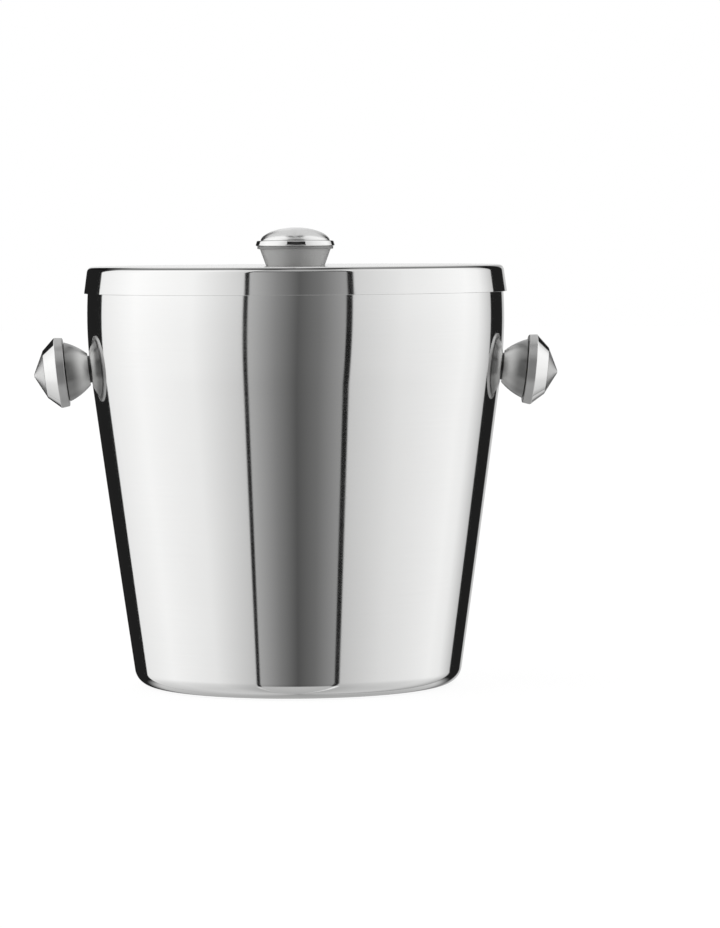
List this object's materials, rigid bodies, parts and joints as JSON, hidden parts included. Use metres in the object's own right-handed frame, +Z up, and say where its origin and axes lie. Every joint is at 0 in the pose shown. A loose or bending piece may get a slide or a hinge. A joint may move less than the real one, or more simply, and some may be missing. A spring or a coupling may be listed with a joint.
{
  "type": "ice bucket",
  "caption": "Tapered round double-walled steel ice bucket with a lift-off skirted lid, a domed lid knob and a pointed knob on each side for carrying.",
  "frame": {"origin": "centre of the foot, on the surface that the bucket stands on", "axes": "+Z up along the bucket's axis, X through the two side knobs with the right knob on +X, front towards -Y"},
  "size_m": [0.2018, 0.1626, 0.1758],
  "materials": {
    "polished_steel": "polished",
    "satin_steel": "satin",
    "brushed_lining": "satin",
    "fastener_steel": "gloss",
    "insert_brass": "satin",
    "spacer_aluminium": "satin"
  },
  "bodies": {
    "bucket": {"outer_shell": "polished_steel", "inner_liner": "brushed_lining", "base_pan": "brushed_lining", "left_knob_collar": "satin_steel", "left_knob_cap": "polished_steel", "left_knob_insert": "insert_brass", "left_knob_screw": "fastener_steel", "left_knob_washer": "fastener_steel", "left_knob_lock_washer": "fastener_steel", "right_knob_collar": "satin_steel", "right_knob_cap": "polished_steel", "right_knob_insert": "insert_brass", "right_knob_screw": "fastener_steel", "right_knob_washer": "fastener_steel", "right_knob_lock_washer": "fastener_steel"},
    "lid": {"lid_shell": "polished_steel", "lid_liner": "brushed_lining", "lid_spacer": "spacer_aluminium", "lid_knob_collar": "satin_steel", "lid_knob_cap": "polished_steel", "lid_knob_insert": "insert_brass", "lid_knob_screw": "fastener_steel", "lid_knob_washer": "fastener_steel", "lid_knob_lock_washer": "fastener_steel"}
  },
  "joints": [
    {"name": "lid_lift", "type": "slide", "parent": "bucket", "child": "lid", "axis": [0, 0, 1], "range_m": [0, 0.15]}
  ]
}
